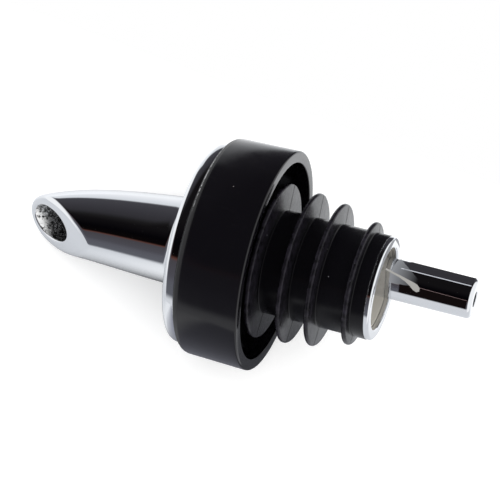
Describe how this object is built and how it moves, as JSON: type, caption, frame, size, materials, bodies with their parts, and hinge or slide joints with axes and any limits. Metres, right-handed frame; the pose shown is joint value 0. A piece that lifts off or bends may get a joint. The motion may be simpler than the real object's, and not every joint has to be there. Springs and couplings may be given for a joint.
{
  "type": "liquor pour spout",
  "caption": "Chrome pour spout with a slanted mouth on a hooded black collar, with a finned rubber cork and a ball-checked vent chamber that reach into a bottle's neck.",
  "frame": {"origin": "on the pour axis, at the seat inside the collar that the bottle's lip meets, which is also the top face of the cork", "axes": "+Z along the pour axis towards the nozzle's tip, -Y towards the side that the slanted mouth faces, and +X completes a right-handed frame"},
  "size_m": [0.0342, 0.0342, 0.0703],
  "materials": {
    "nozzle_chrome": "polished",
    "flange_chrome": "polished",
    "collar_plastic": "satin",
    "cork_rubber": "satin",
    "shank_zinc": "satin",
    "ring_chrome": "polished",
    "bracket_zinc": "satin",
    "chamber_chrome": "polished",
    "cap_zinc": "satin",
    "pipe_steel": "satin",
    "ball_steel": "polished",
    "pin_steel": "satin"
  },
  "bodies": {
    "cork_body": {"cork": "cork_rubber", "mouth_ring": "ring_chrome"},
    "collar_body": {"collar": "collar_plastic"},
    "nozzle_body": {"nozzle": "nozzle_chrome", "flange": "flange_chrome", "shank": "shank_zinc", "vent_bracket": "bracket_zinc", "vent_chamber": "chamber_chrome", "vent_cap": "cap_zinc", "vent_pipe": "pipe_steel", "ball_stop_pin": "pin_steel"},
    "ball_body": {"vent_ball": "ball_steel"}
  },
  "joints": [
    {"name": "collar_lift", "type": "slide", "parent": "cork_body", "child": "collar_body", "axis": [0, 0, 1], "range_m": [0, 0.04]},
    {"name": "nozzle_swivel", "type": "hinge", "parent": "collar_body", "child": "nozzle_body", "pos_m": [0, 0, 0], "axis": [0, 0, 1], "continuous": true},
    {"name": "ball_lift", "type": "slide", "parent": "nozzle_body", "child": "ball_body", "axis": [0, 0, 1], "range_m": [0, 0.011]}
  ]
}
